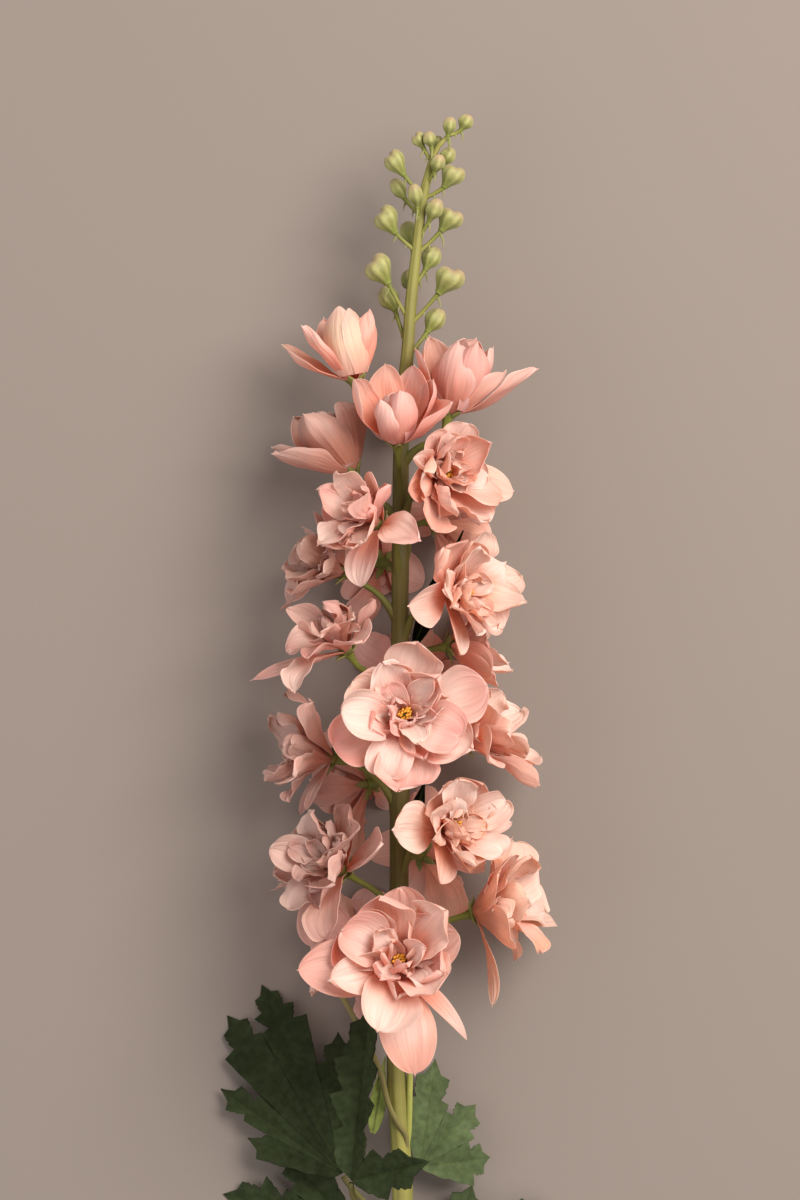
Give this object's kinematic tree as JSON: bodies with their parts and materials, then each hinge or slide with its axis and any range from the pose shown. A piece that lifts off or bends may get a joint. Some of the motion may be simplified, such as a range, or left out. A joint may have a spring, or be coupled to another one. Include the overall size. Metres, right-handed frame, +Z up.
{
  "type": "delphinium flower spike",
  "caption": "Cut delphinium spike lying on a surface: a curved green stem with double peach blooms, half-open ones and green buds above, and lobed dark leaves below.",
  "frame": {"origin": "middle of the spike's outline seen from above, on the surface that it lies on", "axes": "+Y along the spike from its cut end to its buds; +Z up from the surface, towards the side of the spike that shows best; +X to the right of the spike seen from above"},
  "size_m": [0.1114, 0.4844, 0.069],
  "materials": {
    "petal": "satin",
    "petal_pink": "satin",
    "stamen": "matte",
    "stem": "satin",
    "leaf": "satin"
  },
  "bodies": {
    "root": {"bloom_01": "petal", "bloom_02": "petal", "bloom_03": "petal", "bloom_04": "petal", "bloom_05": "petal", "bloom_06": "petal", "bloom_07": "petal", "bloom_08": "petal", "bloom_09": "petal", "bloom_10": "petal", "bloom_11": "petal", "bloom_12": "petal", "bloom_13": "petal", "bloom_14": "petal", "bloom_15": "petal", "bloom_16": "petal", "bloom_17": "petal", "bloom_18": "petal", "bloom_19": "petal", "bloom_20": "petal_pink", "bloom_21": "petal_pink", "bloom_22": "petal_pink", "bloom_23": "petal_pink", "bloom_24": "petal_pink", "stamens_01": "stamen", "stamens_02": "stamen", "stamens_03": "stamen", "stamens_04": "stamen", "stamens_05": "stamen", "stamens_06": "stamen", "stamens_07": "stamen", "stamens_08": "stamen", "stamens_09": "stamen", "stamens_10": "stamen", "stamens_11": "stamen", "stamens_12": "stamen", "stamens_13": "stamen", "stamens_14": "stamen", "stamens_15": "stamen", "stamens_16": "stamen", "stamens_17": "stamen", "stamens_18": "stamen", "stamens_19": "stamen", "leaf_left": "leaf", "leaf_front": "leaf", "leaf_right": "leaf", "leaf_low_left": "leaf", "leaf_low_right": "leaf", "bract_upper": "leaf", "bract_lower": "leaf", "stem": "stem"}
  },
  "joints": []
}
